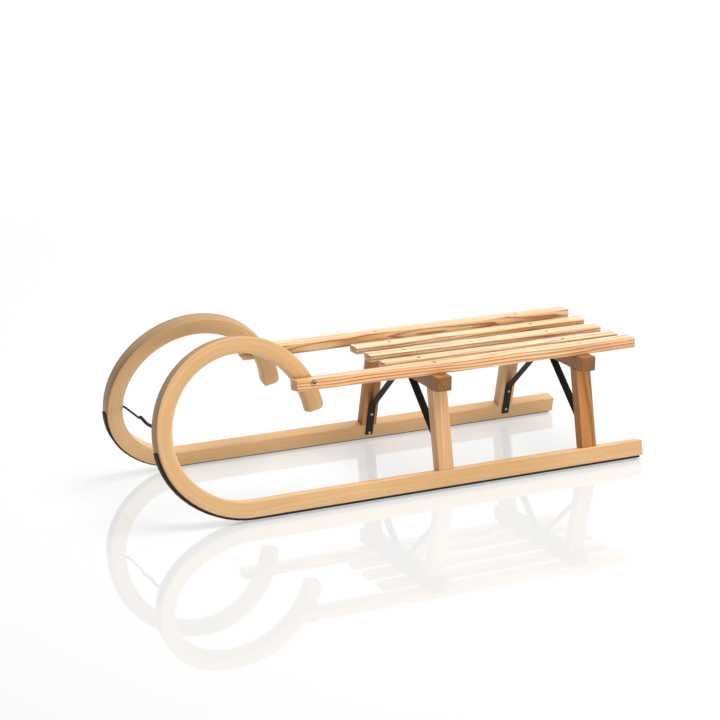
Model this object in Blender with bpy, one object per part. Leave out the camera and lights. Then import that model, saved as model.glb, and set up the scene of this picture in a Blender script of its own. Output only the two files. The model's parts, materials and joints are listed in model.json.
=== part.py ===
"""Two-horn bentwood toboggan, in metres, +Z up.

The horns point to -X, the left side is -Y, and the origin is on the ground under the
middle of the sled. Each side frame (runner, shoe and two posts) leans inward, so it is
built upright under an empty that carries the lean.
"""

import math

import bmesh
import bpy
from mathutils import Matrix, Vector

GAP = 0.0003  # clearance between pieces that touch

# Side frames
LEAN = math.radians(12.35)
INNER_FOOT = 0.1735  # from the middle plane to the inner bottom edge of a shoe
RUNNER_WIDTH = 0.030
RUNNER_DEPTH = 0.034
RUNNER_REAR = 0.5517
RUNNER_ROUND = 0.0028
REAR_CHAMFER = 0.0035
SHOE_THICKNESS = 0.003
SHOE_REAR = 0.5461
SHOE_INSET = 0.0070  # of wood left bare on either side of the shoe
SHOE_DROP = SHOE_INSET * math.tan(LEAN)  # extra thickness that brings its inner edge to the ground
SHOE_TURN = math.radians(83)  # how far round the bend the shoe reaches
WOOD_FOOT = SHOE_THICKNESS + GAP
RAIL_TOP = WOOD_FOOT + RUNNER_DEPTH

# Horn bend: arcs of equal turn, each with its own radius along the hollow side; the last is cut
BEND_START = -0.3637
BEND_ARC = math.radians(43.75)
BEND_TURN = math.radians(258.9)
BEND_RADII = (0.1656, 0.1229, 0.1490, 0.1520, 0.1513, 0.1652)
BEND_STEPS = 8
TIP_INSET = 0.0375  # how far a tip winds inward from its runner's plane
TIP_INSET_POWER = 1.15
TIP_ROUND = 0.010
TIP_STEPS = 5

# Posts and yokes
FRONT_POST = 0.0548
POST_SPACING = 0.3483
POST_X = (FRONT_POST, FRONT_POST + POST_SPACING)
POST_LENGTH = 0.0350
POST_THICKNESS = 0.0252
POST_ROUND = 0.0012
TENON_SHOULDER = 0.0055
TENON_TOP = 0.018
TENON_FOOT = 0.014
YOKE_HALF = 0.1740
YOKE_BOTTOM = 0.2060
YOKE_TOP = 0.2370
YOKE_ROUND = 0.0014
YOKE_END_CHAMFER = 0.0018

# Slats
SLAT_REAR = 0.5522
SLAT_ROUND = 0.0015
OUTER_SLAT = {"width": 0.0326, "thickness": 0.0222, "front": -0.2491}
INNER_SLAT = {"width": 0.0318, "thickness": 0.0152, "front": -0.0178}
OUTER_TWIST = math.radians(9)  # from the front yoke to the front end, towards the horn's lean
OUTER_INWARD = 0.0020  # how far the front end is drawn in against the horn
SLAT_FOOT = YOKE_TOP + GAP
SLATS = {
    "slat_outer_right": (0.1346, OUTER_SLAT),
    "slat_inner_right": (0.0676, INNER_SLAT),
    "slat_middle": (0.0, INNER_SLAT),
    "slat_inner_left": (-0.0676, INNER_SLAT),
    "slat_outer_left": (-0.1346, OUTER_SLAT),
}

# Braces: flat steel bars from runner and post up to the middle of the yoke
BRACE_WIDTH = 0.0172
BRACE_THICKNESS = 0.003
BRACE_OFFSET = 0.0184  # from a post's front face to the middle of its brace
BRACE_FOOT = {"front": 0.0145, "rear": 0.0175}
BRACE_BEND = 0.0870
BRACE_TOP_Y = 0.0240
BRACE_TAB_Y = 0.0050
BRACE_TAB_SCREW_Y = 0.0120
BRACE_BEND_RADIUS = 0.007
BRACE_SCREWS = {
    "front": {"lower": 0.0200, "upper": 0.0660},
    "rear": {"lower": 0.0290, "upper": 0.0750},
}

# Cross rod between the horns
ROD_RADIUS = 0.0022
ROD_SETBACK = 0.0046  # from the hollow side of a horn back to the rod
ROD_HEIGHT = 0.1698  # along the runner's plane
ROD_INTO_HORN = 0.012
ROD_EDGE = 0.0065  # from a horn's inner side to the rod's foot
ROD_BEND_RADIUS = 0.0025
CRANK_FOOT = 0.0446
CRANK_HEAD = 0.0400
CRANK_RISE = 0.0050
SAG = 0.0045  # of the middle of the rod below the heads of its cranks
CRANK_BEND_RADIUS = 0.0025
COLLAR_RADIUS = 0.0043
COLLAR_LENGTH = 0.0025
COLLAR_SINK = 0.0010  # depth of the flat seat cut for it in the hollow side
SLEEVE_RADIUS = 0.0034
SLEEVE_HALF = 0.0365

# Horn bolts, each square to its horn, through the slat and ending inside the horn
BOLT_TURN = math.radians(242.5)
BOLT_DEPTH = 0.0170  # from the hollow side of the horn
BOLT_RADIUS = 0.003
BOLT_SINK = 0.002
SINK_RADIUS = 0.0062
BOLT_STOP = 0.0080  # from the inner face of the horn to the point of the bolt

# Screws, as (radius, height) from the head's top down to the point
ROUND_SIDES = 12
SLAT_SCREW = (
    (0.0036, 0.0),
    (0.0036, -0.0004),
    (0.0017, -0.0030),
    (0.0017, -0.0290),
    (0.0, -0.0320),
)
SHOE_SCREW = (
    (0.0034, 0.0),
    (0.0034, -0.0003),
    (0.0016, -0.0024),
    (0.0016, -0.0150),
    (0.0, -0.0175),
)
BRACE_SCREW = (
    (0.0012, 0.0021),
    (0.0024, 0.0017),
    (0.0032, 0.0005),
    (0.0032, 0.0),
    (0.0019, 0.0),
    (0.0019, -0.0165),
    (0.0, -0.0190),
)
BOLT_HEAD = (
    (0.0020, 0.0012),
    (0.0021, 0.0040),
    (0.0034, 0.0037),
    (0.0047, 0.0024),
    (0.0054, 0.0007),
    (0.0054, 0.0),
    (BOLT_RADIUS, 0.0),
)
SLAT_SCREW_SINK = 0.0004
SLAT_SCREW_X = (POST_X[0] + 0.0139, POST_X[1] + 0.0175)
SHOE_SCREW_SINK = 0.0002
SHOE_SCREW_X = (SHOE_REAR - 0.030, FRONT_POST + 0.120, BEND_START + 0.080)
HOLE_MOUTH = 0.002  # how far a cutter is carried past the surface it opens
MORTISE_MOUTH = 0.004


def clear_scene():
    for item in list(bpy.data.objects):
        bpy.data.objects.remove(item, do_unlink=True)


def make_material(name, colour, roughness, metallic=0.0):
    material = bpy.data.materials.new(name)
    material.use_nodes = True
    shader = material.node_tree.nodes["Principled BSDF"]
    shader.inputs["Base Color"].default_value = (*colour, 1.0)
    shader.inputs["Roughness"].default_value = roughness
    shader.inputs["Metallic"].default_value = metallic
    return material


def make_empty(name, location=(0, 0, 0), rotation=(0, 0, 0), parent=None):
    empty = bpy.data.objects.new(name, None)
    bpy.context.collection.objects.link(empty)
    empty.location = location
    empty.rotation_euler = rotation
    empty.parent = parent
    return empty


def make_object(name, mesh, parent, matrix=None, material=None):
    piece = bpy.data.objects.new(name, mesh)
    bpy.context.collection.objects.link(piece)
    piece.parent = parent
    if matrix is not None:
        piece.matrix_local = matrix
    if material is None:
        piece.hide_render = True
        piece.display_type = "WIRE"
    elif not mesh.materials:
        mesh.materials.append(material)
    return piece


def cut(host, cutter):
    modifier = host.modifiers.new(cutter.name, "BOOLEAN")
    modifier.object = cutter
    modifier.solver = "EXACT"


def loft(name, rings, smooth=None):
    """A closed solid through rings of equally many points, capped at both ends."""
    bm = bmesh.new()
    loops = [[bm.verts.new(point) for point in ring] for ring in rings]
    for first, second in zip(loops, loops[1:]):
        for i in range(len(first)):
            j = (i + 1) % len(first)
            bm.faces.new((first[i], first[j], second[j], second[i]))
    bm.faces.new(list(reversed(loops[0])))
    bm.faces.new(loops[-1])
    bmesh.ops.recalc_face_normals(bm, faces=bm.faces)
    mesh = bpy.data.meshes.new(name)
    bm.to_mesh(mesh)
    bm.free()
    if smooth is not None:
        mesh.shade_smooth()
        mesh.set_sharp_from_angle(angle=smooth)
    return mesh


def rectangle(u0, u1, v0, v1, radius=0.0, steps=2):
    """Corners of a rectangle, each rounded by an arc of so many steps."""
    if radius <= 0:
        return [(u0, v0), (u1, v0), (u1, v1), (u0, v1)]
    corners = ((u1, v0, -1, 1, -90), (u1, v1, -1, -1, 0), (u0, v1, 1, -1, 90), (u0, v0, 1, 1, 180))
    points = []
    for u, v, du, dv, start in corners:
        for k in range(steps + 1):
            angle = math.radians(start + 90 * k / steps)
            across = u + radius * (du + math.cos(angle))
            up = v + radius * (dv + math.sin(angle))
            points.append((across, up))
    return points


def turned(name, profile, sides=ROUND_SIDES):
    """A solid turned about +Z from (radius, height) points, top to bottom."""
    bm = bmesh.new()
    rings = []
    for radius, height in profile:
        if radius == 0:
            rings.append([bm.verts.new((0, 0, height))])
            continue
        turns = [2 * math.pi * k / sides for k in range(sides)]
        rings.append([bm.verts.new((radius * math.cos(t), radius * math.sin(t), height)) for t in turns])
    for first, second in zip(rings, rings[1:]):
        for i in range(sides):
            j = (i + 1) % sides
            if len(second) == 1:
                bm.faces.new((first[i], first[j], second[0]))
            else:
                bm.faces.new((first[i], first[j], second[j], second[i]))
    bm.faces.new(rings[0])
    if len(rings[-1]) > 1:
        bm.faces.new(rings[-1])
    bmesh.ops.recalc_face_normals(bm, faces=bm.faces)
    mesh = bpy.data.meshes.new(name)
    bm.to_mesh(mesh)
    bm.free()
    mesh.shade_smooth()
    mesh.set_sharp_from_angle(angle=math.radians(35))
    return mesh


def hole_profile(profile):
    """The clearance hole of a turned screw, with its mouth carried up past the surface."""
    sunk = [(radius + GAP, height) for radius, height in profile[:-1] if height < 0]
    mouth = (sunk[0][0], HOLE_MOUTH)
    bottom = (sunk[-1][0], profile[-1][1] - GAP)
    return [mouth, *sunk, bottom]


def facing(location, direction):
    """A placement whose +Z points along a direction."""
    rotation = Vector(direction).to_track_quat("Z", "Y").to_matrix().to_4x4()
    return Matrix.Translation(location) @ rotation


def filleted(points, radius, steps=5):
    """A path with each inner corner replaced by an arc."""
    path = [Vector(points[0])]
    for before, corner, after in zip(points, points[1:], points[2:]):
        corner = Vector(corner)
        back = (Vector(before) - corner).normalized()
        ahead = (Vector(after) - corner).normalized()
        half = back.angle(ahead) / 2
        reach = radius / math.tan(half)
        centre = corner + (back + ahead).normalized() * (radius / math.sin(half))
        start = (corner + back * reach - centre).normalized()
        end = (corner + ahead * reach - centre).normalized()
        for k in range(steps + 1):
            path.append(centre + start.slerp(end, k / steps) * radius)
    path.append(Vector(points[-1]))
    return path


def swept(name, path, section):
    """A solid that carries a section of (sideways, across) points along a path, with least twist."""
    sideways = (path[1] - path[0]).cross(path[-1] - path[len(path) // 2]).normalized()
    rings = []
    for i, point in enumerate(path):
        before = (point - path[i - 1]).normalized() if i else None
        after = (path[i + 1] - point).normalized() if i + 1 < len(path) else None
        along = ((before or after) + (after or before)).normalized()
        sideways = (sideways - along * sideways.dot(along)).normalized()
        across = along.cross(sideways)
        stretch = 1 / max(along.dot(before or along), 0.5)
        rings.append([point + sideways * u + across * (v * stretch) for u, v in section])
    return loft(name, rings, smooth=math.radians(35))


def circle(radius, sides=ROUND_SIDES):
    turns = [2 * math.pi * k / sides for k in range(sides)]
    return [(radius * math.cos(t), radius * math.sin(t)) for t in turns]


def bend_stations():
    """(x, height, turn) along the hollow side of a runner, from its rear end to its tip."""
    stations = [(RUNNER_REAR, RAIL_TOP, 0.0), (BEND_START, RAIL_TOP, 0.0)]
    x, height, turn = stations[-1]
    for radius in BEND_RADII:
        step = min(BEND_ARC, BEND_TURN - turn)
        centre_x = x + math.sin(turn) * radius
        centre_z = height + math.cos(turn) * radius
        for k in range(1, BEND_STEPS + 1):
            angle = turn + step * k / BEND_STEPS
            x = centre_x - math.sin(angle) * radius
            height = centre_z - math.cos(angle) * radius
            stations.append((x, height, angle))
        turn += step
    return stations


def inset_at(turn):
    """How far the horn has wound level and inward, as (outward, upward) in the leaning frame."""
    inset = TIP_INSET * (turn / BEND_TURN) ** TIP_INSET_POWER
    return -inset * math.cos(LEAN), inset * math.sin(LEAN)


def runner_ring(side, station, a0, a1, d0, d1, radius):
    """A cross-section: a0 to a1 outward from the inner side, d0 to d1 deep from the hollow side."""
    x, height, turn = station
    outward, upward = inset_at(turn)
    return [
        (x - math.sin(turn) * d, side * (a + outward), height + upward - math.cos(turn) * d)
        for a, d in rectangle(a0, a1, d0, d1, radius)
    ]


def station_at(stations, turn):
    """The hollow-side station at a turn, between the computed ones."""
    for first, second in zip(stations, stations[1:]):
        if first[2] < turn <= second[2]:
            share = (turn - first[2]) / (second[2] - first[2])
            return tuple(a + (b - a) * share for a, b in zip(first, second))
    return stations[-1]


def make_runner(side, name, stations, parent, material):
    tip_x, tip_z, tip_turn = stations[-1]
    end = REAR_CHAMFER
    narrow = RUNNER_WIDTH - end
    shallow = RUNNER_DEPTH - end
    rings = [runner_ring(side, stations[0], end, narrow, end, shallow, RUNNER_ROUND / 2)]
    rear = (stations[0][0] - end, *stations[0][1:])
    for station in [rear, *stations[1:]]:
        rings.append(runner_ring(side, station, 0, RUNNER_WIDTH, 0, RUNNER_DEPTH, RUNNER_ROUND))
    for k in range(1, TIP_STEPS + 1):
        angle = math.radians(90) * k / TIP_STEPS
        ahead = TIP_ROUND * math.sin(angle)
        lost = TIP_ROUND * (1 - math.cos(angle))
        shrink = RUNNER_ROUND * (1 - math.cos(angle)) * 0.6
        x = tip_x - math.cos(tip_turn) * ahead
        station = (x, tip_z + math.sin(tip_turn) * ahead, tip_turn)
        wide = RUNNER_WIDTH - shrink
        deep = RUNNER_DEPTH - lost
        rings.append(runner_ring(side, station, shrink, wide, shrink, deep, RUNNER_ROUND))
    mesh = loft(name, rings, smooth=math.radians(30))
    return make_object(name, mesh, parent, material=material)


def make_shoe(side, name, stations, parent, material):
    top = RUNNER_DEPTH + GAP
    path = [(SHOE_REAR, RAIL_TOP, 0.0)] + [s for s in stations[1:] if s[2] < SHOE_TURN]
    path.append(station_at(stations, SHOE_TURN))
    rings = []
    for station in path:
        bottom = top + SHOE_THICKNESS + SHOE_DROP * (1 - station[2] / SHOE_TURN)
        rings.append(runner_ring(side, station, SHOE_INSET, RUNNER_WIDTH - SHOE_INSET, top, bottom, 0))
    return make_object(name, loft(name, rings, smooth=math.radians(30)), parent, material=material)


def post_top(a):
    """Height along the leaning post where it meets the level underside of the yoke."""
    return (YOKE_BOTTOM - GAP - a * math.sin(LEAN)) / math.cos(LEAN)


def post_rings(side, x, grow):
    """Rings of a post from the foot tenon's end to the top tenon's end."""
    shoulder = TENON_SHOULDER - grow
    body = rectangle(x, x + POST_LENGTH, 0, POST_THICKNESS, POST_ROUND)
    front, rear = x + shoulder, x + POST_LENGTH - shoulder
    tenon = rectangle(front, rear, shoulder, POST_THICKNESS - shoulder, POST_ROUND)
    foot = RAIL_TOP + GAP
    top = post_top(POST_THICKNESS / 2) + TENON_TOP
    return {
        "foot_end": [(u, side * v, foot - TENON_FOOT - grow) for u, v in tenon],
        "foot_root": [(u, side * v, foot) for u, v in tenon],
        "body_foot": [(u, side * v, foot) for u, v in body],
        "body_top": [(u, side * v, post_top(v)) for u, v in body],
        "top_root": [(u, side * v, post_top(v)) for u, v in tenon],
        "top_end": [(u, side * v, top + grow) for u, v in tenon],
    }


def make_post(side, name, x, parent, material, runner, yoke):
    mesh = loft(name, list(post_rings(side, x, 0.0).values()), smooth=math.radians(30))
    post = make_object(name, mesh, parent, material=material)
    mortise = post_rings(side, x, GAP)
    for host, lower, upper in ((runner, "foot_end", "foot_root"), (yoke, "top_root", "top_end")):
        pocket = [mortise[lower], mortise[upper]]
        open_end = 0 if host is yoke else 1
        lift = -MORTISE_MOUTH if host is yoke else MORTISE_MOUTH
        pocket[open_end] = [(u, v, w + lift) for u, v, w in pocket[open_end]]
        cutter = make_object(f"mortise_{name}_{host.name}", loft("mortise", pocket), parent)
        cut(host, cutter)
    return post


def make_yoke(name, x, parent, material):
    stations = (
        (-YOKE_HALF, YOKE_END_CHAMFER),
        (-YOKE_HALF + YOKE_END_CHAMFER, 0.0),
        (YOKE_HALF - YOKE_END_CHAMFER, 0.0),
        (YOKE_HALF, YOKE_END_CHAMFER),
    )
    depth = YOKE_TOP - YOKE_BOTTOM
    rings = []
    for y, inset in stations:
        section = rectangle(inset, POST_LENGTH - inset, inset, depth - inset, YOKE_ROUND)
        rings.append([(u, y, v) for u, v in section])
    placed = Matrix.Translation((x, 0, YOKE_BOTTOM))
    return make_object(name, loft(name, rings, smooth=math.radians(30)), parent, placed, material)


def slat_pose(y, x):
    """(sideways move, twist about X) of an outer slat at x: none behind the front of the yoke."""
    share = max(FRONT_POST - x, 0) / (FRONT_POST - OUTER_SLAT["front"])
    side = math.copysign(1, y)
    return -side * OUTER_INWARD * share, side * OUTER_TWIST * share


def make_slat(name, y, kind, parent, material):
    front = kind["front"]
    stations = [(SLAT_REAR, SLAT_ROUND), (SLAT_REAR - SLAT_ROUND, 0.0), (FRONT_POST, 0.0)]
    if kind is OUTER_SLAT:
        stations += [(FRONT_POST + (front - FRONT_POST) * k / 8, 0.0) for k in range(1, 8)]
    stations += [(front + SLAT_ROUND, 0.0), (front, SLAT_ROUND)]
    middle = kind["thickness"] / 2
    rings = []
    for x, inset in stations:
        move, twist = slat_pose(y, x) if kind is OUTER_SLAT else (0, 0)
        half = kind["width"] / 2 - inset
        tall = middle - inset
        ring = []
        for u, v in rectangle(-half, half, -tall, tall, SLAT_ROUND):
            across = u * math.cos(twist) - v * math.sin(twist)
            up = u * math.sin(twist) + v * math.cos(twist)
            ring.append((x, across + move, up + middle))
        rings.append(ring)
    placed = Matrix.Translation((0, y, SLAT_FOOT))
    return make_object(name, loft(name, rings, smooth=math.radians(30)), parent, placed, material)


def in_world(side, a, b):
    """(y, z) of a point a outward and b up in a leaning side frame."""
    y = INNER_FOOT + a * math.cos(LEAN) - b * math.sin(LEAN)
    return side * y, a * math.sin(LEAN) + b * math.cos(LEAN)


def make_brace(side, name, x, lower_end, parent, material):
    off = -(GAP + BRACE_THICKNESS / 2)
    level = YOKE_BOTTOM - GAP - BRACE_THICKNESS / 2
    foot = in_world(side, off, lower_end)
    bend = in_world(side, off, BRACE_BEND)
    corners = [foot, bend, (side * BRACE_TOP_Y, level), (side * BRACE_TAB_Y, level)]
    path = filleted([(x, y, z) for y, z in corners], BRACE_BEND_RADIUS)
    half = BRACE_WIDTH / 2
    section = rectangle(-half, half, -BRACE_THICKNESS / 2, BRACE_THICKNESS / 2, 0.0006, 1)
    return make_object(name, swept(name, path, section), parent, material=material)


def make_rod(parent, material, stations):
    """The bar, its ends bent into the horns and its middle cranked up, sagging in a sleeve."""
    horn = next(s for s in stations if s[1] + inset_at(s[2])[1] >= ROD_HEIGHT and s[2] > 0)
    left_y, height = in_world(-1, ROD_EDGE + inset_at(horn[2])[0], ROD_HEIGHT)
    face = horn[0]
    back = face + ROD_SETBACK
    inside = face - ROD_INTO_HORN
    foot, head = (back, -CRANK_FOOT, height), (back, -CRANK_HEAD, height + CRANK_RISE)

    def sagging(y):
        return Vector((back, y, head[2] - SAG * (1 - (abs(y) / CRANK_HEAD) ** 1.25)))

    corner = (back, left_y, height)
    half = filleted([(inside, left_y, height), corner, foot], ROD_BEND_RADIUS)[:-1]
    half += filleted([corner, foot, head, sagging(-0.75 * CRANK_HEAD)], CRANK_BEND_RADIUS)[1:]
    half += [sagging(-0.5 * CRANK_HEAD), sagging(-0.25 * CRANK_HEAD)]
    path = half + [sagging(0)] + [Vector((p.x, -p.y, p.z)) for p in reversed(half)]
    make_object("cross_rod", swept("cross_rod", path, circle(ROD_RADIUS)), parent, material=material)
    longer = [path[0] - Vector((GAP, 0, 0)), *path[1:-1], path[-1] - Vector((GAP, 0, 0))]
    cutter = make_object("cut_cross_rod", swept("cut_cross_rod", longer, circle(ROD_RADIUS + GAP)), parent)
    tube = [sagging(SLEEVE_HALF * k / 6) for k in range(-6, 7)]
    sleeve_mesh = swept("rod_sleeve", tube, circle(SLEEVE_RADIUS))
    cut(make_object("rod_sleeve", sleeve_mesh, parent, material=material), cutter)
    return cutter, Vector((face, left_y, height))


def make_screw(name, mesh, hole, matrix, parent, material, hosts):
    screw = make_object(name, mesh, parent, matrix, material)
    cutter = make_object(f"cut_{name}", hole, parent, matrix)
    for host in hosts:
        cut(host, cutter)
    return screw


def slat_face_at(x, b):
    """How far outward, in the leaning frame, the outer face of an outer slat is at (x, b)."""
    y = SLATS["slat_outer_right"][0]
    move, twist = slat_pose(y, x)
    from_y = INNER_FOOT - b * math.sin(LEAN) - (y + move)
    from_z = b * math.cos(LEAN) - (SLAT_FOOT + OUTER_SLAT["thickness"] / 2)
    face = OUTER_SLAT["width"] / 2 - from_y * math.cos(twist) - from_z * math.sin(twist)
    return face / math.cos(LEAN - twist)


def make_horn_bolt(side, word, stations, parent, material, slat, runner):
    hollow_x, hollow_z, turn = station_at(stations, BOLT_TURN)
    inner, upward = inset_at(turn)
    x = hollow_x - math.sin(turn) * BOLT_DEPTH
    b = hollow_z - math.cos(turn) * BOLT_DEPTH + upward
    seat = slat_face_at(x, b) - BOLT_SINK + GAP
    length = seat - inner - BOLT_STOP

    shank = ((BOLT_RADIUS, -length + 0.003), (0.0, -length))
    bolt_mesh = turned("horn_bolt", BOLT_HEAD + shank)
    loose = BOLT_RADIUS + GAP
    hole = ((SINK_RADIUS, 0.006), (SINK_RADIUS, -GAP), (loose, -GAP), (loose, -length - 0.0005))
    place = facing((x, side * seat, b), (0, side, 0))
    bolt_hole = make_object(f"cut_horn_bolt_{word}", turned("bolt_hole", hole), parent, place)
    make_object(f"horn_bolt_{word}", bolt_mesh, parent, place, material)
    for host in (runner, slat):
        cut(host, bolt_hole)


def main():
    clear_scene()
    beech = make_material("runner_wood", (0.73, 0.47, 0.24), 0.45)
    ash = make_material("slat_wood", (0.80, 0.50, 0.25), 0.50)
    oak = make_material("frame_wood", (0.55, 0.30, 0.13), 0.50)
    black = make_material("black_steel", (0.018, 0.020, 0.018), 0.45, 0.6)
    shoe_steel = make_material("shoe_steel", (0.10, 0.095, 0.09), 0.40, 0.9)
    zinc = make_material("zinc_steel", (0.62, 0.63, 0.62), 0.30, 1.0)
    dark = make_material("dark_steel", (0.22, 0.20, 0.18), 0.40, 0.9)

    sled = make_empty("sled")
    stations = bend_stations()
    yokes = {
        "front": make_yoke("yoke_front", POST_X[0], sled, oak),
        "rear": make_yoke("yoke_rear", POST_X[1], sled, oak),
    }
    slats = {name: make_slat(name, y, kind, sled, ash) for name, (y, kind) in SLATS.items()}
    rod_hole, rod_face = make_rod(sled, black, stations)

    slat_screw = turned("slat_screw", SLAT_SCREW)
    slat_hole = turned("slat_hole", hole_profile(SLAT_SCREW))
    shoe_screw = turned("shoe_screw", SHOE_SCREW)
    shoe_hole = turned("shoe_hole", hole_profile(SHOE_SCREW))
    brace_screw = turned("brace_screw", BRACE_SCREW)
    brace_hole = turned("brace_hole", hole_profile(BRACE_SCREW))

    for end, x in zip(("front", "rear"), SLAT_SCREW_X):
        for name, (y, kind) in SLATS.items():
            place = (x, y, SLAT_FOOT + kind["thickness"] - SLAT_SCREW_SINK)
            matrix = Matrix.Translation(place)
            hosts = (slats[name], yokes[end])
            make_screw(f"screw_{name}_{end}", slat_screw, slat_hole, matrix, sled, dark, hosts)

    for side, word in ((-1, "left"), (1, "right")):
        frame = make_empty(f"side_frame_{word}", (0, side * INNER_FOOT, 0), (side * LEAN, 0, 0), sled)
        runner = make_runner(side, f"runner_{word}", stations, frame, beech)
        shoe = make_shoe(side, f"runner_shoe_{word}", stations, frame, shoe_steel)
        cut(runner, rod_hole)

        for number, x in enumerate(SHOE_SCREW_X, 1):
            matrix = facing((x, side * RUNNER_WIDTH / 2, SHOE_SCREW_SINK - SHOE_DROP), (0, 0, -1))
            hosts = (shoe, runner)
            make_screw(f"screw_shoe_{word}_{number}", shoe_screw, shoe_hole, matrix, frame, zinc, hosts)

        for end, x in zip(("front", "rear"), POST_X):
            post = make_post(side, f"post_{end}_{word}", x, frame, oak, runner, yokes[end])
            middle = x + BRACE_OFFSET
            brace = make_brace(side, f"brace_{end}_{word}", middle, BRACE_FOOT[end], sled, black)
            for level, height in BRACE_SCREWS[end].items():
                matrix = facing((middle, -side * (2 * GAP + BRACE_THICKNESS), height), (0, -side, 0))
                name = f"screw_brace_{end}_{word}_{level}"
                make_screw(name, brace_screw, brace_hole, matrix, frame, zinc, (brace, runner, post))
            under = YOKE_BOTTOM - 2 * GAP - BRACE_THICKNESS
            matrix = facing((middle, side * BRACE_TAB_SCREW_Y, under), (0, 0, -1))
            name = f"screw_brace_{end}_{word}_top"
            hosts = (brace, yokes[end])
            make_screw(name, brace_screw, brace_hole, matrix, sled, zinc, hosts)

        # Collar round the rod's foot, on the hollow side of the horn
        seat = Vector((rod_face.x - COLLAR_SINK, -side * rod_face.y, rod_face.z))
        seat_radius = COLLAR_RADIUS + 2 * GAP
        seat_mesh = turned("collar_seat", ((seat_radius, 0.01), (seat_radius, 0.0)))
        cutter = make_object(f"cut_collar_seat_{word}", seat_mesh, sled, facing(seat, (1, 0, 0)))
        cut(runner, cutter)
        collar_mesh = turned("collar", ((COLLAR_RADIUS * 0.7, COLLAR_LENGTH), (COLLAR_RADIUS, 0.0)))
        place = facing(seat + Vector((GAP, 0, 0)), (1, 0, 0))
        collar = make_object(f"rod_collar_{word}", collar_mesh, sled, place, black)
        cut(collar, rod_hole)

        make_horn_bolt(side, word, stations, frame, zinc, slats[f"slat_outer_{word}"], runner)


main()
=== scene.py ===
"""Looks of a bentwood toboggan with two horns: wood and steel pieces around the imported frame."""

import json
import math

import bmesh
import bpy
from mathutils import Matrix, Vector
from mathutils.bvhtree import BVHTree
from mathutils.interpolate import poly_3d_calc


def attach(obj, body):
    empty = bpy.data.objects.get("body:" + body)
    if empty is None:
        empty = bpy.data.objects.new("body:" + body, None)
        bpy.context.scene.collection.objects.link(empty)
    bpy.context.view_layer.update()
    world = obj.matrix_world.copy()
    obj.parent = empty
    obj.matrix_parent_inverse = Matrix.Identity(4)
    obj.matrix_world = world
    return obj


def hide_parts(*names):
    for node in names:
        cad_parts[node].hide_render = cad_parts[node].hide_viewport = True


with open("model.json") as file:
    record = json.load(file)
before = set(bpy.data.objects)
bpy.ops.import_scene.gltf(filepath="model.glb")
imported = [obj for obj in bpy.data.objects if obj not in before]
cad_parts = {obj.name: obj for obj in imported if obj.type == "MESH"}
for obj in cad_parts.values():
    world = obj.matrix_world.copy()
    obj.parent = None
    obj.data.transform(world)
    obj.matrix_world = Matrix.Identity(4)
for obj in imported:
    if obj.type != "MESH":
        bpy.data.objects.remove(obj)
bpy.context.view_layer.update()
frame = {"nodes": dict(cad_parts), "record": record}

# The frame's sizes in metres, as in the part
LEAN = math.radians(12.35)
INNER_FOOT = 0.1735
RUNNER_WIDTH = 0.030
RUNNER_DEPTH = 0.034
RUNNER_REAR = 0.5517
RUNNER_ROUND = 0.0028
REAR_CHAMFER = 0.0035
SHOE_THICKNESS = 0.003
GAP = 0.0003
RAIL_TOP = SHOE_THICKNESS + GAP + RUNNER_DEPTH
BEND_START = -0.3637
BEND_ARC = math.radians(43.75)
BEND_TURN = math.radians(258.9)
BEND_RADII = (0.1656, 0.1229, 0.1490, 0.1520, 0.1513, 0.1652)
TIP_INSET = 0.0375
TIP_INSET_POWER = 1.15
TIP_ROUND = 0.010
POST_X = (0.0548, 0.4031)
POST_LENGTH = 0.0350
POST_THICKNESS = 0.0252
YOKE_HALF = 0.1740
YOKE_BOTTOM = 0.2060
YOKE_TOP = 0.2370
YOKE_END_CHAMFER = 0.0018
SLAT_REAR = 0.5522
SLAT_FOOT = YOKE_TOP + GAP
OUTER_FRONT = -0.2491
OUTER_TWIST = math.radians(9)
OUTER_INWARD = 0.0020
SLATS = {
    "slat_outer_right": (0.1346, 0.0326, 0.0222, OUTER_FRONT),
    "slat_inner_right": (0.0676, 0.0318, 0.0152, -0.0178),
    "slat_middle": (0.0, 0.0318, 0.0152, -0.0178),
    "slat_inner_left": (-0.0676, 0.0318, 0.0152, -0.0178),
    "slat_outer_left": (-0.1346, 0.0326, 0.0222, OUTER_FRONT),
}
SLAT_SCREW_X = (POST_X[0] + 0.0139, POST_X[1] + 0.0175)
SCREW_HOLE = (
    (0.0058, 0.0020),
    (0.0039, 0.0),
    (0.0039, -0.0007),
    (0.0020, -0.0033),
    (0.0020, -0.0120),
)
BOLT_TURN = math.radians(242.5)
BOLT_DEPTH = 0.0170
SINK_RADIUS = 0.0062
SINK_DEPTH = 0.0020
SLAT_ROUND = 0.0017
YOKE_ROUND = 0.0015
POST_ROUND = 0.0014
POST_GRAIN = 0.17

# How finely the wooden pieces are divided
RAIL_STEP = 0.012
RAIL_STATIONS = 76
BEND_STEPS = 14
REAR_RINGS = 4
TIP_RINGS = 8
TIP_END_RINGS = 3
SLAT_RINGS = 40
YOKE_RINGS = 24
POST_RINGS = 12
CUTTER_SIDES = 24

PORES = 0.6


# Camera, light and floor

AMBIENT = 0.03
BACKDROP = 1.0
CEILING = 0.35
FRONT_WALL = 0.30
OVERHEAD = 68
FRONT_LIGHT = 43
FLOOR_REACH = 14
FLOOR_DROP = 0.0005


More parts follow.
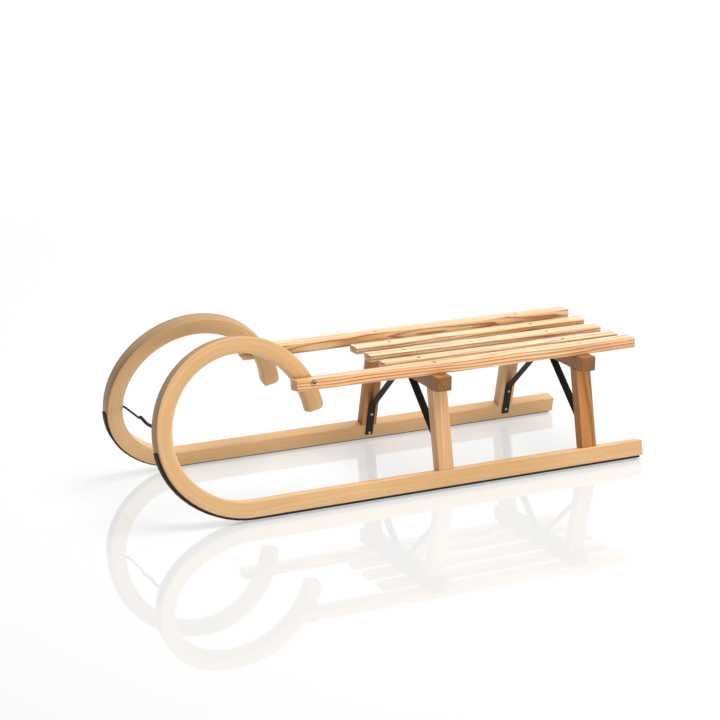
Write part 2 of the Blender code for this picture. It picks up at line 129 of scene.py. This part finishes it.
def look_from(place, yaw, pitch, roll):
    """A camera matrix: yaw turns from +Y towards +X, pitch lifts, roll turns clockwise."""
    ahead = Vector(
        (math.sin(yaw) * math.cos(pitch), math.cos(yaw) * math.cos(pitch), math.sin(pitch))
    )
    side = Vector((math.cos(yaw), -math.sin(yaw), 0))
    up = side.cross(ahead)
    right = side * math.cos(roll) + up * math.sin(roll)
    top = up * math.cos(roll) - side * math.sin(roll)
    turn = Matrix((right, top, -ahead)).transposed()
    return Matrix.Translation(place) @ turn.to_4x4()


def make_camera():
    data = bpy.data.cameras.new("camera")
    data.sensor_width = 36
    data.lens = 104.48
    data.clip_end = 50
    camera = bpy.data.objects.new("camera", data)
    bpy.context.collection.objects.link(camera)
    camera.matrix_world = look_from(
        (-1.9230, -3.7637, 1.4426), math.radians(26.643), math.radians(-15.921), math.radians(0.438)
    )
    bpy.context.scene.camera = camera


def make_area(name, place, aim, size, power, colour):
    data = bpy.data.lights.new(name, "AREA")
    data.shape = "RECTANGLE"
    data.size, data.size_y = size
    data.energy = power
    data.color = colour
    light = bpy.data.objects.new(name, data)
    light.visible_glossy = False  # so the lamps don't mirror in the floor
    bpy.context.collection.objects.link(light)
    place = Vector(place)
    turn = (Vector(aim) - place).to_track_quat("-Z", "Y").to_matrix().to_4x4()
    light.matrix_world = Matrix.Translation(place) @ turn


def make_world():
    """White backdrop behind the sled, a softer ceiling and a dim side before the horns."""
    world = bpy.data.worlds.new("studio")
    world.use_nodes = True
    tree = world.node_tree
    back = tree.nodes["Background"]
    direction = tree.nodes.new("ShaderNodeTexCoord").outputs["Generated"]
    total = None
    for toward, low, high, power in (
        ((0.45, 0.89, 0.0), -0.15, 0.55, BACKDROP),
        ((0.0, 0.0, 1.0), 0.25, 0.85, CEILING),
        ((0.25, -0.96, 0.0), 0.30, 0.95, FRONT_WALL),
    ):
        dot = tree.nodes.new("ShaderNodeVectorMath")
        dot.operation = "DOT_PRODUCT"
        dot.inputs[1].default_value = toward
        tree.links.new(direction, dot.inputs[0])
        spread = tree.nodes.new("ShaderNodeMapRange")
        spread.interpolation_type = "SMOOTHSTEP"
        tree.links.new(dot.outputs["Value"], spread.inputs["Value"])
        limits = (("From Min", low), ("From Max", high), ("To Min", 0.0), ("To Max", power))
        for key, number in limits:
            spread.inputs[key].default_value = number
        add = tree.nodes.new("ShaderNodeMath")
        add.operation = "ADD"
        add.inputs[0].default_value = AMBIENT
        if total is not None:
            tree.links.new(total, add.inputs[0])
        tree.links.new(spread.outputs["Result"], add.inputs[1])
        total = add.outputs[0]
    tree.links.new(total, back.inputs["Strength"])
    back.inputs["Color"].default_value = (1, 1, 1, 1)
    bpy.context.scene.world = world


def make_studio():
    bpy.context.scene.view_settings.view_transform = "Standard"
    make_world()
    make_area(
        "overhead", (0.5, -0.3, 2.6), (0.1, 0, 0.1), (1.6, 1.4), OVERHEAD, (1.0, 0.985, 0.97)
    )
    make_area(
        "front", (0.45, -3.1, 0.50), (0.0, 0, 0.12), (1.8, 0.9), FRONT_LIGHT, (1.0, 0.98, 0.96)
    )

    bm = bmesh.new()
    reach = FLOOR_REACH
    square = ((-reach, -reach), (reach, -reach), (reach, reach), (-reach, reach))
    bm.faces.new([bm.verts.new((x, y, -FLOOR_DROP)) for x, y in square])
    mesh = bpy.data.meshes.new("floor")
    bm.to_mesh(mesh)
    bm.free()
    floor = bpy.data.objects.new("floor", mesh)
    bpy.context.collection.objects.link(floor)
    material = bpy.data.materials.new("floor")
    material.use_nodes = True
    shader = material.node_tree.nodes["Principled BSDF"]
    shader.inputs["Base Color"].default_value = (0.30, 0.305, 0.305, 1)
    shader.inputs["Roughness"].default_value = 0.03
    shader.inputs["IOR"].default_value = 1.62
    shader.inputs["Emission Color"].default_value = (0.985, 1, 1, 1)
    shader.inputs["Emission Strength"].default_value = 0.47
    mesh.materials.append(material)


# Materials


class Nodes:
    """Short calls for building a node tree."""

    def __init__(self, name):
        self.material = bpy.data.materials.new(name)
        self.material.use_nodes = True
        self.tree = self.material.node_tree
        self.shader = self.tree.nodes["Principled BSDF"]

    def add(self, kind, **values):
        node = self.tree.nodes.new(kind)
        for key, value in values.items():
            setattr(node, key, value)
        return node

    def link(self, source, target):
        self.tree.links.new(source, target)

    def put(self, socket, value):
        if isinstance(value, bpy.types.NodeSocket):
            self.link(value, socket)
        else:
            socket.default_value = value

    def math(self, operation, first, second=0.0, clamp=False):
        node = self.add("ShaderNodeMath", operation=operation, use_clamp=clamp)
        for socket, value in zip(node.inputs, (first, second)):
            self.put(socket, value)
        return node.outputs[0]

    def place(self, source, scale):
        node = self.add("ShaderNodeMapping")
        self.link(source, node.inputs["Vector"])
        node.inputs["Scale"].default_value = scale
        return node.outputs[0]

    def noise(self, vector, scale, detail, roughness):
        node = self.add("ShaderNodeTexNoise")
        self.link(vector, node.inputs["Vector"])
        node.inputs["Scale"].default_value = scale
        node.inputs["Detail"].default_value = detail
        node.inputs["Roughness"].default_value = roughness
        return node.outputs["Fac"]

    def spread(self, value, low, high, to_low=0.0, to_high=1.0):
        node = self.add("ShaderNodeMapRange")
        node.interpolation_type = "SMOOTHSTEP"
        keys = ("Value", "From Min", "From Max", "To Min", "To Max")
        for key, number in zip(keys, (value, low, high, to_low, to_high)):
            self.put(node.inputs[key], number)
        return node.outputs["Result"]

    def mix(self, share, first, second, mode="MIX"):
        node = self.add("ShaderNodeMix", data_type="RGBA", blend_type=mode)
        self.put(node.inputs["Factor"], share)
        for key, value in (("A", first), ("B", second)):
            socket = next(s for s in node.inputs if s.name == key and s.type == "RGBA")
            if isinstance(value, tuple):
                value = (*value, 1.0)
            self.put(socket, value)
        return next(s for s in node.outputs if s.type == "RGBA")

    def bump(self, height, strength, distance):
        node = self.add("ShaderNodeBump")
        node.inputs["Strength"].default_value = strength
        node.inputs["Distance"].default_value = distance
        self.link(height, node.inputs["Height"])
        return node.outputs["Normal"]

    def finish(self, colour, roughness, normal):
        self.link(colour, self.shader.inputs["Base Color"])
        self.link(roughness, self.shader.inputs["Roughness"])
        self.link(normal, self.shader.inputs["Normal"])
        return self.material


def scaled(colour, share):
    return tuple(c * share for c in colour)


def make_wood(name, light, mid, dark, ring, wave, streak, edge, rough, coat=0.0, rim=0.0):
    """Sawn wood. The attribute grain holds metres along the grain, across it and through it."""
    n = Nodes(name)
    grain = n.add("ShaderNodeAttribute", attribute_name="grain").outputs["Vector"]
    tone = n.add("ShaderNodeAttribute", attribute_name="tone").outputs["Fac"]
    worn = n.add("ShaderNodeAttribute", attribute_name="edge").outputs["Fac"]
    ends = n.add("ShaderNodeAttribute", attribute_name="ends").outputs["Fac"]

    split = n.add("ShaderNodeSeparateXYZ")
    n.link(grain, split.inputs[0])
    moved = n.add("ShaderNodeCombineXYZ")
    for socket, step in zip(moved.inputs, (3.1, 1.7, 0.9)):
        n.link(n.math("MULTIPLY", tone, step), socket)
    varied = n.add("ShaderNodeVectorMath", operation="ADD")
    n.link(grain, varied.inputs[0])
    n.link(moved.outputs[0], varied.inputs[1])
    grain = varied.outputs["Vector"]  # each piece its own figure

    # Growth rings: the distance from a pith line that wanders slowly along the piece
    slow = n.place(grain, (1.3, 6.0, 6.0))
    drift = n.noise(slow, 1.5, 2.0, 0.5)
    wander = n.math("MULTIPLY", n.math("SUBTRACT", drift, 0.5), 0.060 * wave)
    across = n.math("ADD", split.outputs["Y"], wander)
    through = n.math("ADD", split.outputs["Z"], n.math("MULTIPLY", tone, 0.021))
    across = n.math("ADD", across, n.math("MULTIPLY", tone, 0.013))
    squares = n.math("ADD", n.math("POWER", across, 2.0), n.math("POWER", through, 2.0))
    reach = n.math("SQRT", squares)
    fine = n.noise(n.place(grain, (9.0, 260.0, 260.0)), 1.0, 3.0, 0.6)
    jitter = n.math("MULTIPLY", n.math("SUBTRACT", fine, 0.5), 0.55)
    phase = n.math("ADD", n.math("DIVIDE", reach, ring), jitter)
    saw = n.math("FRACT", phase)
    late = n.math("MULTIPLY", n.spread(saw, 0.35, 0.93), n.spread(saw, 0.93, 1.0, 1.0, 0.0))

    # Fibres, pores and slow changes of tone
    fibres = n.noise(n.place(grain, (14.0, 900.0, 900.0)), 1.0, 4.0, 0.62)
    streaks = n.noise(n.place(grain, (2.2, 95.0, 95.0)), 1.0, 3.0, 0.55)
    patches = n.noise(n.place(grain, (3.0, 14.0, 14.0)), 1.0, 2.0, 0.5)
    pore = n.spread(n.noise(n.place(grain, (70.0, 2200.0, 2200.0)), 1.0, 1.0, 0.5), 0.62, 0.72)

    base = n.mix(n.spread(patches, 0.25, 0.75), light, mid)
    base = n.mix(n.math("MULTIPLY", late, streak), base, dark)
    base = n.mix(n.math("MULTIPLY", n.spread(streaks, 0.48, 0.72), 0.45 * streak), base, dark)
    base = n.mix(n.math("MULTIPLY", n.spread(fibres, 0.45, 0.75), 0.22), base, dark)
    base = n.mix(n.math("MULTIPLY", pore, 0.35 * PORES), base, scaled(dark, 0.45))
    end_rings = n.mix(n.math("MULTIPLY", late, 0.75), scaled(mid, 0.80), scaled(dark, 0.55))
    base = n.mix(ends, base, end_rings)
    handled = n.noise(n.place(grain, (26.0, 60.0, 60.0)), 1.0, 3.0, 0.6)
    wear = n.math("MULTIPLY", worn, n.spread(handled, 0.40, 0.62, 0.35, 1.0))
    rubbed = tuple(min(1.0, c * 1.12 + 0.02) for c in light)
    base = n.mix(n.math("MULTIPLY", wear, edge), base, rubbed)

    if rim:
        # The outer rim of the bend is greyer than the sides
        half = RUNNER_DEPTH / 2
        outside = n.spread(split.outputs["Y"], half - 0.0016, half - 0.0002)
        rim_tone = n.mix(n.spread(streaks, 0.35, 0.7), (0.56, 0.55, 0.51), (0.38, 0.36, 0.31))
        base = n.mix(n.math("MULTIPLY", outside, rim), base, rim_tone, "MULTIPLY")
    height = n.math("ADD", n.math("MULTIPLY", late, 0.45), n.math("MULTIPLY", fibres, 0.75))
    height = n.math("SUBTRACT", height, n.math("MULTIPLY", pore, 0.5 * PORES))
    normal = n.bump(height, 0.22, 0.0005)
    gloss = n.math("ADD", rough, n.math("MULTIPLY", n.math("SUBTRACT", streaks, 0.5), 0.25))
    gloss = n.math("ADD", gloss, n.math("MULTIPLY", late, -0.07))
    gloss = n.math("ADD", gloss, n.math("MULTIPLY", ends, 0.22))
    n.shader.inputs["Specular IOR Level"].default_value = 0.42
    n.shader.inputs["Coat Weight"].default_value = coat
    n.shader.inputs["Coat Roughness"].default_value = 0.16
    return n.finish(base, gloss, normal)


def make_metal(
    name, colour, worn_colour, metallic, rough, scale, scratch, wear, specular=0.5, painted_socket_shade=()
):
    """Steel with mill marks, fine scratches and bare spots, in object metres, with a near-black
    spot painted as shade at each given socket centre.
    """
    n = Nodes(name)
    place = n.add("ShaderNodeTexCoord").outputs["Object"]
    mottle = n.noise(place, 90.0 * scale, 5.0, 0.6)
    coarse = n.noise(place, 24.0 * scale, 3.0, 0.5)
    lines = n.noise(n.place(place, (60.0, 1400.0, 1400.0)), 1.0, 3.0, 0.6)
    cross = n.noise(n.place(place, (1600.0, 90.0, 90.0)), 1.0, 2.0, 0.5)
    chips = n.spread(n.noise(place, 320.0 * scale, 4.0, 0.7), 0.66, 0.72)
    bevel = n.add("ShaderNodeNewGeometry").outputs["Pointiness"]
    edges = n.spread(bevel, 0.53, 0.60)
    bare = n.math("ADD", edges, n.math("MULTIPLY", chips, 0.5), clamp=True)
    rubbed = n.math("MULTIPLY", bare, wear)
    base = n.mix(n.spread(mottle, 0.3, 0.7), scaled(colour, 0.78), scaled(colour, 1.2))
    base = n.mix(n.math("MULTIPLY", n.spread(lines, 0.55, 0.8), 0.3 * scratch), base, worn_colour)
    base = n.mix(rubbed, base, worn_colour)
    # Painted shade: a near-black spot at each socket centre stands in for the shade inside a socket
    # hollow that is not modelled
    for socket in painted_socket_shade:
        away = n.add("ShaderNodeVectorMath", operation="DISTANCE")
        n.link(place, away.inputs[0])
        away.inputs[1].default_value = socket
        base = n.mix(n.spread(away.outputs["Value"], 0.0026, 0.0021), base, (0.006, 0.008, 0.006))
    n.shader.inputs["Metallic"].default_value = metallic
    n.shader.inputs["Specular IOR Level"].default_value = specular
    gloss = n.math("ADD", rough, n.math("MULTIPLY", n.math("SUBTRACT", coarse, 0.5), 0.30))
    gloss = n.math("ADD", gloss, n.math("MULTIPLY", n.math("SUBTRACT", cross, 0.5), 0.12))
    marks = n.math("MULTIPLY", lines, 0.4 * scratch)
    height = n.math("ADD", n.math("MULTIPLY", mottle, 0.6), marks)
    return n.finish(base, gloss, n.bump(height, 0.18, 0.0003))


# Shapes


def rounded(u0, u1, v0, v1, radius, steps=4):
    """(u, v, edge) round a rectangle: edge is 1 in the middle of each rounded corner."""
    corners = ((u1, v0, -1, 1, -90), (u1, v1, -1, -1, 0), (u0, v1, 1, -1, 90), (u0, v0, 1, 1, 180))
    points = []
    for u, v, du, dv, start in corners:
        for k in range(steps + 1):
            angle = math.radians(start + 90 * k / steps)
            across = u + radius * (du + math.cos(angle))
            up = v + radius * (dv + math.sin(angle))
            points.append((across, up, math.sin(math.pi * k / steps)))
    return points


def make_cutter(matrix, profile):
    """A closed turned solid of (radius, height) from its top down, placed by matrix."""
    bm = bmesh.new()
    turns = [2 * math.pi * k / CUTTER_SIDES for k in range(CUTTER_SIDES)]
    rings = []
    for radius, height in profile:
        ring = [Vector((radius * math.cos(t), radius * math.sin(t), height)) for t in turns]
        rings.append([bm.verts.new(matrix @ spot) for spot in ring])
    for first, second in zip(rings, rings[1:]):
        for i in range(CUTTER_SIDES):
            j = (i + 1) % CUTTER_SIDES
            bm.faces.new((first[i], first[j], second[j], second[i]))
    bm.faces.new(rings[0])
    bm.faces.new(list(reversed(rings[-1])))
    bmesh.ops.recalc_face_normals(bm, faces=bm.faces)
    mesh = bpy.data.meshes.new("cutter")
    bm.to_mesh(mesh)
    bm.free()
    cutter = bpy.data.objects.new("cutter", mesh)
    bpy.context.collection.objects.link(cutter)
    return cutter


def drill(piece, holes):
    """Cuts the turned holes out of a piece and carries its point attributes over."""
    before = piece.data
    places = [v.co.copy() for v in before.vertices]
    faces = [tuple(p.vertices) for p in before.polygons]
    tree = BVHTree.FromPolygons(places, faces)
    grain = [d.vector.copy() for d in before.attributes["grain"].data]
    plain = {k: [d.value for d in before.attributes[k].data] for k in ("edge", "ends", "tone")}
    cutters = [make_cutter(matrix, profile) for matrix, profile in holes]
    for cutter in cutters:
        modifier = piece.modifiers.new("hole", "BOOLEAN")
        modifier.operation = "DIFFERENCE"
        modifier.solver = "EXACT"
        modifier.object = cutter
    graph = bpy.context.evaluated_depsgraph_get()
    after = bpy.data.meshes.new_from_object(piece.evaluated_get(graph))
    piece.modifiers.clear()
    piece.data = after
    for cutter in cutters:
        bpy.data.objects.remove(cutter)
    new_grain = []
    new_plain = {k: [] for k in plain}
    for vert in after.vertices:
        spot, _, index, _ = tree.find_nearest(vert.co)
        corners = faces[index]
        weights = poly_3d_calc([places[c] for c in corners], spot)
        inside = vert.co - spot
        mixed = sum((grain[c] * w for c, w in zip(corners, weights)), Vector())
        new_grain += list(mixed + Vector((0, 0, inside.length)))
        for key, values in plain.items():
            new_plain[key].append(sum(values[c] * w for c, w in zip(corners, weights)))
    after.attributes["grain"].data.foreach_set("vector", new_grain)
    for key, values in new_plain.items():
        after.attributes[key].data.foreach_set("value", values)
    after.set_sharp_from_angle(angle=math.radians(35))


def make_piece(name, rings, material, nodes, tone, smooth=35, holes=()):
    """Lofts rings of (place, grain, edge, ends) points into a piece that stands for CAD nodes."""
    bm = bmesh.new()
    grain_layer = bm.verts.layers.float_vector.new("grain")
    edge_layer = bm.verts.layers.float.new("edge")
    ends_layer = bm.verts.layers.float.new("ends")
    loops = []
    for ring in rings:
        loop = []
        for place, grain, edge, ends in ring:
            vert = bm.verts.new(place)
            vert[grain_layer] = grain
            vert[edge_layer] = edge
            vert[ends_layer] = ends
            loop.append(vert)
        loops.append(loop)
    for first, second in zip(loops, loops[1:]):
        for i in range(len(first)):
            j = (i + 1) % len(first)
            bm.faces.new((first[i], first[j], second[j], second[i]))
    bm.faces.new(list(reversed(loops[0])))
    bm.faces.new(loops[-1])
    bmesh.ops.recalc_face_normals(bm, faces=bm.faces)
    mesh = bpy.data.meshes.new(name)
    bm.to_mesh(mesh)
    bm.free()
    values = mesh.attributes.new("tone", "FLOAT", "POINT")
    values.data.foreach_set("value", [tone] * len(mesh.vertices))
    mesh.shade_smooth()
    mesh.set_sharp_from_angle(angle=math.radians(smooth))
    mesh.materials.append(material)
    piece = bpy.data.objects.new(name, mesh)
    bpy.context.collection.objects.link(piece)
    if holes:
        drill(piece, holes)
    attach(piece, "root")
    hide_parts(*nodes)
    return piece


def in_world(side, x, a, b):
    """A point a outward and b up in a leaning side frame."""
    y = INNER_FOOT + a * math.cos(LEAN) - b * math.sin(LEAN)
    return Vector((x, side * y, a * math.sin(LEAN) + b * math.cos(LEAN)))


def bend_stations():
    """(x, height, turn, metres along) of the hollow side, from the rear end to the tip."""
    stations = [
        (RUNNER_REAR - RAIL_STEP * k, RAIL_TOP, 0.0, RAIL_STEP * k) for k in range(RAIL_STATIONS)
    ]
    x, height, turn, along = BEND_START, RAIL_TOP, 0.0, RUNNER_REAR - BEND_START
    stations = [s for s in stations if s[0] > BEND_START + 0.003] + [(x, height, turn, along)]
    for radius in BEND_RADII:
        step = min(BEND_ARC, BEND_TURN - turn)
        centre_x = x + math.sin(turn) * radius
        centre_z = height + math.cos(turn) * radius
        for k in range(1, BEND_STEPS + 1):
            angle = turn + step * k / BEND_STEPS
            x = centre_x - math.sin(angle) * radius
            height = centre_z - math.cos(angle) * radius
            stations.append((x, height, angle, along + radius * step * k / BEND_STEPS))
        turn += step
        along = stations[-1][3]
    return stations


def inset_at(turn):
    inset = TIP_INSET * (turn / BEND_TURN) ** TIP_INSET_POWER
    return -inset * math.cos(LEAN), inset * math.sin(LEAN)


def out_of_side(side, x, a, b):
    """A matrix at (x, a, b) of a side frame whose Z points outward."""
    z = Vector((0, side * math.cos(LEAN), math.sin(LEAN)))
    x_axis = Vector((1, 0, 0))
    turn = Matrix((x_axis, z.cross(x_axis), z)).transposed().to_4x4()
    return Matrix.Translation(in_world(side, x, a, b)) @ turn


def slat_pose(y, x):
    """(sideways move, twist about X) of an outer slat at x: none behind the front of the yoke."""
    share = max(POST_X[0] - x, 0) / (POST_X[0] - OUTER_FRONT)
    side = math.copysign(1, y)
    return -side * OUTER_INWARD * share, side * OUTER_TWIST * share


def bolt_at(stations):
    """(x, a, b) of the horn bolt in the slat's outer face."""
    for first, second in zip(stations, stations[1:]):
        if second[2] >= BOLT_TURN:
            share = (BOLT_TURN - first[2]) / (second[2] - first[2])
            hollow_x, hollow_z = (p + (q - p) * share for p, q in zip(first[:2], second[:2]))
            break
    _, upward = inset_at(BOLT_TURN)
    x = hollow_x - math.sin(BOLT_TURN) * BOLT_DEPTH
    b = hollow_z - math.cos(BOLT_TURN) * BOLT_DEPTH + upward
    y, width, thickness, _ = SLATS["slat_outer_right"]
    move, twist = slat_pose(y, x)
    from_y = INNER_FOOT - b * math.sin(LEAN) - (y + move)
    from_z = b * math.cos(LEAN) - (SLAT_FOOT + thickness / 2)
    face = width / 2 - from_y * math.cos(twist) - from_z * math.sin(twist)
    return x, face / math.cos(LEAN - twist), b


def runner_ring(side, station, a0, a1, d0, d1, radius, ends=0.0):
    x, height, turn, along = station
    outward, upward = inset_at(turn)
    ring = []
    for a, d, edge in rounded(a0, a1, d0, d1, radius):
        place = in_world(
            side, x - math.sin(turn) * d, a + outward, height + upward - math.cos(turn) * d
        )
        ring.append((place, (along, d - RUNNER_DEPTH / 2, a), edge, ends))
    return ring


def make_runner(side, word, material, tone, stations):
    wide, deep, r = RUNNER_WIDTH, RUNNER_DEPTH, RUNNER_ROUND
    rear = stations[0]
    rings = []
    for k in range(REAR_RINGS + 1):
        angle = math.radians(90) * k / REAR_RINGS
        lost = REAR_CHAMFER * (1 - math.sin(angle))
        place = (rear[0] - REAR_CHAMFER * (1 - math.cos(angle)), *rear[1:])
        ends = 1 - k / REAR_RINGS
        rings.append(runner_ring(side, place, lost, wide - lost, lost, deep - lost, r, ends))
    rings += [runner_ring(side, s, 0, wide, 0, deep, r) for s in stations[1:]]
    tip_x, tip_z, turn, along = stations[-1]
    for k in range(1, TIP_RINGS + 1):
        angle = math.radians(90) * k / TIP_RINGS
        ahead = TIP_ROUND * math.sin(angle)
        lost = TIP_ROUND * (1 - math.cos(angle))
        shrink = r * (1 - math.cos(angle)) * 0.6
        tip = (tip_x - math.cos(turn) * ahead, tip_z + math.sin(turn) * ahead)
        place = (*tip, turn, along + ahead)
        ends = max(0.0, (k - TIP_RINGS + TIP_END_RINGS) / TIP_END_RINGS)
        rings.append(
            runner_ring(side, place, shrink, wide - shrink, shrink, deep - lost, r, ends)
        )
    name = f"wood_runner_{word}"
    return make_piece(name, rings, material, [f"runner_{word}"], tone, 40)


def make_bar(name, node, material, corner_rings, tone, holes=()):
    """A bar lofted through rounded rectangles.

    Each is (function that places it, metres along, corners, rounding, end grain).
    """
    rings = []
    for place_of, along, (u0, u1, v0, v1), radius, ends in corner_rings:
        ring = []
        middle = ((u0 + u1) / 2, (v0 + v1) / 2)
        for u, v, edge in rounded(u0, u1, v0, v1, radius, 3):
            grain = (along, u - middle[0], v - middle[1])
            ring.append((place_of(u, v), grain, edge, ends))
        rings.append(ring)
    return make_piece(name, rings, material, [node], tone, holes=holes)


def make_slat(node, material, tone, stations):
    y, width, thickness, front = SLATS[node]
    outer = front == OUTER_FRONT
    r = SLAT_ROUND
    xs = [(SLAT_REAR, r, 1.0), (SLAT_REAR - r * 0.3, r * 0.3, 0.6), (SLAT_REAR - r, 0.0, 0.0)]
    start, stop = SLAT_REAR - r, front + r
    xs += [
        (start + (stop - start) * k / SLAT_RINGS, 0.0, 0.0) for k in range(1, SLAT_RINGS + 1)
    ]
    xs += [(front + r * 0.3, r * 0.3, 0.6), (front, r, 1.0)]
    rings = []
    for x, inset, ends in xs:
        move, twist = slat_pose(y, x) if outer else (0, 0)
        half = width / 2 - inset
        tall = thickness / 2 - inset

        def place_of(u, v, x=x, move=move, twist=twist):
            across = u * math.cos(twist) - v * math.sin(twist)
            up = u * math.sin(twist) + v * math.cos(twist)
            return (x, y + across + move, SLAT_FOOT + thickness / 2 + up)

        rings.append((place_of, x, (-half, half, -tall, tall), r, ends))
    holes = [
        (Matrix.Translation((x, y, SLAT_FOOT + thickness - 0.0004)), SCREW_HOLE)
        for x in SLAT_SCREW_X
    ]
    if outer:
        x, face, b = bolt_at(stations)
        sink = ((SINK_RADIUS, 0.0060), (SINK_RADIUS, 0.0))
        holes.append((out_of_side(math.copysign(1, y), x, face - SINK_DEPTH, b), sink))
    return make_bar(f"wood_{node}", node, material, rings, tone, holes)


def make_yoke(end, x, material, tone):
    r = YOKE_ROUND
    chamfer = YOKE_END_CHAMFER
    depth = YOKE_TOP - YOKE_BOTTOM
    ys = [(-YOKE_HALF, chamfer, 1.0), (-YOKE_HALF + chamfer * 0.5, chamfer * 0.5, 0.9)]
    ys += [(-YOKE_HALF + chamfer, 0.0, 0.0)]
    span = YOKE_HALF - chamfer
    ys += [(-span + 2 * span * k / YOKE_RINGS, 0.0, 0.0) for k in range(1, YOKE_RINGS + 1)]
    ys += [(YOKE_HALF - chamfer * 0.5, chamfer * 0.5, 0.9), (YOKE_HALF, chamfer, 1.0)]
    rings = []
    for y, inset, ends in ys:

        def place_of(u, v, y=y):
            return (x + u, y, YOKE_BOTTOM + v)

        corners = (inset, POST_LENGTH - inset, inset, depth - inset)
        rings.append((place_of, y, corners, r, ends))
    return make_bar(f"wood_yoke_{end}", f"yoke_{end}", material, rings, tone)


def make_post(side, word, end, x, material, tone):
    def top_at(a):
        return (YOKE_BOTTOM - GAP - a * math.sin(LEAN)) / math.cos(LEAN)

    foot = RAIL_TOP + GAP
    corners = (0, POST_LENGTH, 0, POST_THICKNESS)
    rings = []
    for k in range(POST_RINGS + 1):
        share = k / POST_RINGS

        def place_of(u, v, share=share):
            b = foot + (top_at(v) - foot) * share
            return in_world(side, x + u, v, b)

        rings.append((place_of, foot + POST_GRAIN * share, corners, POST_ROUND, 0.0))
    name = f"post_{end}_{word}"
    return make_bar(f"wood_{name}", name, material, rings, tone)


# Assembly

make_camera()
make_studio()
stations = bend_stations()

runner_wood = make_wood(
    "runner_wood",
    light=(0.72, 0.46, 0.225),
    mid=(0.63, 0.38, 0.172),
    dark=(0.45, 0.235, 0.095),
    ring=0.0036,
    wave=0.8,
    streak=0.22,
    edge=0.25,
    rough=0.40,
    rim=0.9,
)
slat_wood = make_wood(
    "slat_wood",
    light=(0.94, 0.66, 0.40),
    mid=(0.85, 0.48, 0.21),
    dark=(0.42, 0.155, 0.040),
    ring=0.0062,
    wave=1.3,
    streak=1.0,
    edge=0.25,
    rough=0.40,
    coat=0.6,
)
frame_wood = make_wood(
    "frame_wood",
    light=(0.43, 0.20, 0.062),
    mid=(0.32, 0.130, 0.034),
    dark=(0.13, 0.045, 0.012),
    ring=0.0050,
    wave=1.6,
    streak=0.85,
    edge=0.25,
    rough=0.46,
)
rear_wood = make_wood(
    "rear_wood",
    light=(0.56, 0.265, 0.085),
    mid=(0.42, 0.175, 0.045),
    dark=(0.21, 0.070, 0.018),
    ring=0.0050,
    wave=1.6,
    streak=0.70,
    edge=0.25,
    rough=0.46,
)
post_wood = make_wood(
    "post_wood",
    light=(0.74, 0.46, 0.245),
    mid=(0.66, 0.385, 0.185),
    dark=(0.42, 0.21, 0.085),
    ring=0.0050,
    wave=1.4,
    streak=0.40,
    edge=0.30,
    rough=0.44,
)
black_steel = make_metal(
    "black_steel",
    colour=(0.010, 0.012, 0.009),
    worn_colour=(0.06, 0.058, 0.05),
    metallic=0.0,
    rough=0.55,
    scale=1.0,
    scratch=0.35,
    wear=0.2,
    specular=0.15,
)
shoe_steel = make_metal(
    "shoe_steel",
    colour=(0.010, 0.010, 0.010),
    worn_colour=(0.09, 0.088, 0.082),
    metallic=0.0,
    rough=0.55,
    scale=0.7,
    scratch=0.5,
    wear=0.2,
    specular=0.10,
)
zinc_steel = make_metal(
    "zinc_steel",
    colour=(0.50, 0.51, 0.49),
    worn_colour=(0.75, 0.75, 0.73),
    metallic=1.0,
    rough=0.30,
    scale=1.6,
    scratch=0.4,
    wear=0.4,
)
bolt_x, bolt_a, bolt_b = bolt_at(stations)
# Centres of the bolt heads' sockets, where a dark spot is painted as the shade of a socket hollow
painted_socket_shade = [tuple(in_world(side, bolt_x, bolt_a + 0.0010, bolt_b)) for side in (-1, 1)]
bolt_steel = make_metal(
    "bolt_steel",
    colour=(0.66, 0.67, 0.65),
    worn_colour=(0.75, 0.75, 0.73),
    metallic=1.0,
    rough=0.30,
    scale=1.6,
    scratch=0.4,
    wear=0.4,
    painted_socket_shade=painted_socket_shade,
)
dark_steel = make_metal(
    "dark_steel",
    colour=(0.035, 0.032, 0.030),
    worn_colour=(0.12, 0.11, 0.10),
    metallic=0.6,
    rough=0.42,
    scale=1.6,
    scratch=0.4,
    wear=0.3,
)

for side, word, shift in ((-1, "left", 0.0), (1, "right", 1.7)):
    make_runner(side, word, runner_wood, 0.4 + shift, stations)
    pair = (post_wood, rear_wood) if side < 0 else (rear_wood, post_wood)
    make_post(side, word, "front", POST_X[0], pair[0], 0.3 + shift)
    make_post(side, word, "rear", POST_X[1], pair[1], 1.1 + shift)
for index, node in enumerate(SLATS):
    make_slat(node, slat_wood, 0.2 + 0.63 * index, stations)
make_yoke("front", POST_X[0], frame_wood, 0.5)
make_yoke("rear", POST_X[1], frame_wood, 1.6)

metals = {
    "black_steel": black_steel,
    "shoe_steel": shoe_steel,
    "zinc_steel": zinc_steel,
    "dark_steel": dark_steel,
}
for part in frame["record"]["subparts"]:
    bolt = part["node"].startswith("horn_bolt")
    material = bolt_steel if bolt else metals.get(part["material_slot"])
    node = frame["nodes"][part["node"]]
    if material:
        for slot in node.material_slots:
            slot.material = material
